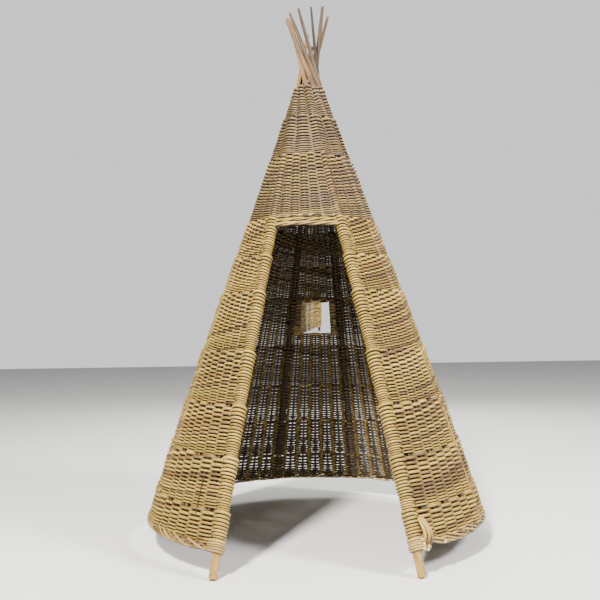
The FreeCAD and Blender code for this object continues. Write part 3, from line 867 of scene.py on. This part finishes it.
# ---- rolled edge, collars and the rods over the doorway
border = dict(rods=81, radius=0.0043, passed=3.6, bulge=0.013, rise=0.012, collarTurns=5,
              collarRadius=0.0042, collarTail=0.045, collarRise=0.016, footed=(0, 3, 6, 9))
borderLow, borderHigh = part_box("base_border")
pieces = [grow("rolledBorder", borderTree(), {
    "Rods": border["rods"], "Intervals": line["bays"] * bayIntervals,
    "Bottom height": borderLow.z + border["radius"], "Top height": borderHigh.z + border["rise"],
    "Rod radius": border["radius"], "Rods passed": border["passed"],
    "Bulge": border["bulge"], "Seed": 21, "Material": edgeWillow})]
for number in border["footed"]:
    pieces.append(grow("collar", wrapper, {
        "Wraps": border["collarTurns"], "Bottom height": borderLow.z,
        "Top height": borderHigh.z + border["collarRise"],
        "Thin radius": border["collarRadius"], "Thick radius": border["collarRadius"],
        "Azimuth": poleAzimuth(number), "Side": -1.0 if number == line["bays"] else 1.0,
        "Post radius": poleSizes["rim"], "Tail": border["collarTail"], "Seed": 50 + number,
        "Material": edgeWillow}))
rolledBorder = joined("rolledBorder", pieces)
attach(rolledBorder, body)
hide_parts("base_border")

lintel = dict(rods=3, radius=0.0041, turns=1.7, moreTurns=0.3, sag=0.005, overrun=0.050, standOff=0.003,
              rows=(-0.008, 0.007, 0.022))
lintelLow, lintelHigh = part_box("door_lintel")
pieces = []
for row, shift in enumerate(lintel["rows"]):
    pieces.append(grow("doorLintel", twistTree(), {
        "Rods": lintel["rods"], "From azimuth": -doorHalf - lintel["overrun"],
        "To azimuth": doorHalf + lintel["overrun"],
        "Height": (lintelLow.z + lintelHigh.z) / 2.0 + shift, "Rod radius": lintel["radius"],
        "Turns": lintel["turns"] + lintel["moreTurns"] * row, "Sag": lintel["sag"],
        "Stand-off": lintel["standOff"] - lintel["standOff"] * row,
        "Seed": 31 + row, "Material": willow}))
doorLintel = joined("doorLintel", pieces)
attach(doorLintel, body)
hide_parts("door_lintel")
print("stage: rolled edge and lintel")


# ---- carrying loop, window and shutter
def linePoint(azimuth, height):
    heading = azimuth + baseTurn
    if height < line["bendHeight"]:
        reach = bendReach + lowerLean * (line["bendHeight"] - height)
    else:
        reach = upperLean * (line["waistHeight"] - height)
    side = line["waistRadius"]
    return Vector((reach * math.sin(heading) - side * math.cos(heading),
                   -side * math.sin(heading) - reach * math.cos(heading), height))


rodMaker = bentRodTree()


def bentRod(name, start, middle, end, radii, tone, seed, material, cut=0.0):
    return grow(name, rodMaker, {
        "Start": start, "Middle": middle, "End": end, "Start radius": radii[0], "End radius": radii[1],
        "Tone": tone, "Cut end": cut, "Seed": seed, "Material": material})


loop = dict(rods=3, radius=0.0042, gap=2.4, step=0.0148, top=0.164, foot=0.081, reach=0.030, spread=0.012,
            stagger=0.003)
cutRod = dict(reach=0.026, bend=0.020, root=0.004, length=0.02, drift=0.006)
# azimuth, height, how far the end drops, and radius
cutRods = ((31.6, 0.112, 0.004, 0.0046), (32.0, 0.100, 0.006, 0.0050), (31.8, 0.088, 0.006, 0.0048),
           (33.4, 0.092, 0.008, 0.0044), (33.0, 0.082, 0.004, 0.0042), (40.0, 0.092, 0.003, 0.0044))
pieces = []
for number in range(loop["rods"]):
    azimuth = math.radians(line["doorHalfAngle"] + loop["gap"]) + loop["step"] * number
    start = linePoint(azimuth, loop["top"])
    end = linePoint(azimuth + loop["spread"] * (number - 1), loop["foot"])
    outward = Vector((start.x, start.y, 0.0)).normalized()
    crest = (start + end) / 2.0 + outward * (loop["reach"] + loop["stagger"] * (number % 2))
    middle = crest * 2.0 - (start + end) / 2.0
    pieces.append(bentRod("carryingLoop", start, middle, end, (loop["radius"], loop["radius"] * 1.05),
                          0.72 + 0.1 * number, 61 + number, edgeWillow))
for number, (azimuth, height, drop, size) in enumerate(cutRods):
    root = linePoint(math.radians(azimuth), height)
    outward = Vector((root.x, root.y, 0.0)).normalized()
    sideways = Vector((-outward.y, outward.x, 0.0))
    start = root - outward * cutRod["root"] + sideways * cutRod["length"]
    end = root + outward * cutRod["reach"] - Vector((0.0, 0.0, drop)) - sideways * cutRod["drift"]
    pieces.append(bentRod("cutRod", start, root + outward * cutRod["bend"], end, (size, size * 0.95),
                          0.6 + 0.05 * number, 101 + number, edgeWillow, cut=1.0))
carryingLoop = joined("carryingLoop", pieces)
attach(carryingLoop, body)
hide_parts("carrying_loop")

# two thin rods that stand outside the weave, one on each side of the doorway
looseRods = [
    dict(azimuth=65.0, top=0.46, bottom=0.095, off=0.0135, size=0.0026, tone=0.86, material=edgeWillow),
    dict(azimuth=-40.0, top=0.28, bottom=0.17, off=0.0112, size=0.0014, tone=0.0, material=darkWillow)]
pieces = []
for number, rod in enumerate(looseRods):
    ends = []
    for height in (rod["top"], rod["bottom"]):
        root = linePoint(math.radians(rod["azimuth"]), height)
        ends.append(root + Vector((root.x, root.y, 0.0)).normalized() * rod["off"])
    pieces.append(bentRod("looseRods", ends[0], (ends[0] + ends[1]) / 2.0, ends[1],
                          (rod["size"], rod["size"]), rod["tone"], 121 + number, rod["material"]))
looseRod = joined("looseRods", pieces)
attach(looseRod, body)

firstWindowStake = (window["bay"] - 1) * bayIntervals
jambs = [doorHalf + (firstWindowStake + window[key]) * bayAngle / bayIntervals
         for key in ("fromStake", "toStake")]
rodInset = 0.005   # the sill and head rods stand this far outside the opening and short of the jambs
for name, height in (("window_sill_rod", window["bottom"] - rodInset),
                     ("window_head_rod", window["top"] + rodInset)):
    a, b = [linePoint(azimuth, height) for azimuth in jambs]
    inset = (b - a).normalized() * rodInset
    piece = bentRod(name.replace("_rod", "").replace("_", "") + "Rods", a + inset, (a + b) / 2.0, b - inset,
                    (0.0048, 0.0046), 0.45, 71, willow)
    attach(piece, body)
    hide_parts(name)

jamb = dict(wraps=22, past=0.004, radius=0.0029, stake=0.0042, tail=0.020)
pieces = []
for azimuth, side, seed in ((jambs[0], -1.0, 81), (jambs[1], 1.0, 82)):
    pieces.append(grow("windowJambs", wrapper, {
        "Wraps": jamb["wraps"], "Bottom height": window["bottom"] - jamb["past"],
        "Top height": window["top"] + jamb["past"], "Thin radius": jamb["radius"],
        "Thick radius": jamb["radius"], "Azimuth": azimuth, "Side": side, "Post radius": jamb["stake"],
        "Tail": jamb["tail"], "Seed": seed, "Material": willow}))
windowJambs = joined("windowJambs", pieces)
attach(windowJambs, body)

shutter = dict(halfHeight=0.0803, overhang=0.020, stileRadius=0.005, stakeRadius=0.004, rodRadius=0.0027,
               courses=43, turns=30, turnRadius=0.0024, tail=0.022)
centres = [sum(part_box(name), Vector()) / 2.0 for name in ("shutter_hinge_stile", "shutter_free_stile")]
across = centres[1] - centres[0]
shutterWidth = across.length
across.normalize()
hingeJoint = frame["joints"][0]
upright = Vector(hingeJoint["axis"]).normalized()
faceOut = upright.cross(across).normalized()
shutterTurn = Matrix((across, faceOut, upright)).transposed().to_4x4()
shutterPlace = Matrix.Translation(Vector(hingeJoint["pos_m"])) @ shutterTurn
half = shutter["halfHeight"]
turner = ringStackTree()
pieces = [grow("shutterWeave", flatWeaveTree(), {
    "Courses": shutter["courses"], "Width": shutterWidth, "Bottom": -half, "Top": half,
    "Rod radius": shutter["rodRadius"], "Upright radius": shutter["stileRadius"],
    "Middle radius": shutter["stakeRadius"], "Seed": 91, "Material": shutterWillow})]
for at, side in ((0.0, 1.0), (shutterWidth, -1.0)):
    pieces.append(grow("turns", turner, {
        "Turns": shutter["turns"], "At": at, "Bottom": -half, "Top": half,
        "Rod radius": shutter["turnRadius"], "Upright radius": shutter["stileRadius"], "Side": side,
        "Tail": shutter["tail"], "Seed": 92, "Material": shutterWillow}))
shutterWeave = joined("shutterWeave", pieces)
stileEnds = half + shutter["overhang"]
shutterRods = [   # name, node, distance from the hinge, half length, radii, tone and seed
    ("hingeStile", "shutter_hinge_stile", 0.0, stileEnds, (0.0049, 0.0047), 0.5, 93),
    ("freeStile", "shutter_free_stile", shutterWidth, stileEnds, (0.0050, 0.0046), 0.2, 94),
    ("middleStake", "shutter_mid_stake", shutterWidth / 2.0, half, (0.0039, 0.0037), 0.4, 95)]
shutterPieces = [(shutterWeave, "shutter_weave", "shutter_weave")]
for name, node, distance, reach, radii, tone, seed in shutterRods:
    foot, middle, head = [Vector((distance, 0.0, height)) for height in (-reach, 0.0, reach)]
    piece = bentRod(name, foot, middle, head, radii, tone, seed, darkWillow)
    shutterPieces.append((piece, node, "stake_bark"))
for piece, node, slot in shutterPieces:
    piece.data.transform(shutterPlace)
    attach(piece, "shutter")
    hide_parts(node)
for name in ("shutter_hinge_loop_upper", "shutter_hinge_loop_lower"):
    for place in frame["nodes"][name].material_slots:
        place.material = edgeWillow
print("stage: window and shutter")

# ---- stage, light and camera
studio = dict(floor=(0.90, 0.90, 0.90), world=(1.0, 1.0, 1.0), seenStrength=1.0, worldStrength=0.30)
lamps = [
    dict(name="keyLamp", place=(-1.4, -3.4, 4.4), aim=0.7, size=0.7, power=760.0, colour=(1.0, 0.96, 0.90)),
    dict(name="sideLamp", place=(3.4, -2.0, 3.4), aim=0.7, size=1.0, power=330.0, colour=(1.0, 0.98, 0.95)),
    dict(name="backLamp", place=(0.5, 3.4, 2.8), aim=0.8, size=2.0, power=110.0, colour=(1.0, 1.0, 0.90))]
view = dict(distance=2.725, height=0.732, lens=45.0, pitch=1.67, yaw=0.95, roll=-0.9, shiftY=0.009)

floorMesh = bpy.data.meshes.new("floor")
floorMesh.from_pydata([(-12, -12, 0), (12, -12, 0), (12, 12, 0), (-12, 12, 0)], [], [(0, 1, 2, 3)])
floor = bpy.data.objects.new("floor", floorMesh)
link(floor)
floorMaterial = bpy.data.materials.new("floor")
floorMaterial.use_nodes = True
floorShader = floorMaterial.node_tree.nodes["Principled BSDF"]
floorShader.inputs["Base Color"].default_value = studio["floor"] + (1.0,)
floorShader.inputs["Roughness"].default_value = 0.9
floorMesh.materials.append(floorMaterial)

world = bpy.data.worlds.new("studio")
world.use_nodes = True
worldTree = world.node_tree
background = worldTree.nodes["Background"]
background.inputs["Color"].default_value = studio["world"] + (1.0,)
seen = Number(worldTree, worldTree.nodes.new("ShaderNodeLightPath").outputs["Is Camera Ray"])
put(worldTree, background.inputs["Strength"],
    seen * (studio["seenStrength"] - studio["worldStrength"]) + studio["worldStrength"])
bpy.context.scene.world = world

for lamp in lamps:
    data = bpy.data.lights.new(lamp["name"], "AREA")
    data.shape = "DISK"
    data.size = lamp["size"]
    data.energy = lamp["power"]
    data.color = lamp["colour"]
    made = bpy.data.objects.new(lamp["name"], data)
    made.location = lamp["place"]
    aim = Vector((0.0, 0.0, lamp["aim"])) - made.location
    made.rotation_euler = aim.to_track_quat("-Z", "Y").to_euler()
    link(made)

cameraData = bpy.data.cameras.new("camera")
cameraData.lens = view["lens"]
cameraData.sensor_width = 36.0
cameraData.shift_y = view["shiftY"]
camera = bpy.data.objects.new("camera", cameraData)
camera.matrix_world = (Matrix.Translation((0.0, -view["distance"], view["height"]))
                       @ Matrix.Rotation(math.radians(view["yaw"]), 4, "Z")
                       @ Matrix.Rotation(math.radians(90.0 + view["pitch"]), 4, "X")
                       @ Matrix.Rotation(math.radians(view["roll"]), 4, "Z"))
link(camera)
bpy.context.scene.camera = camera
print("stage: camera and lights")
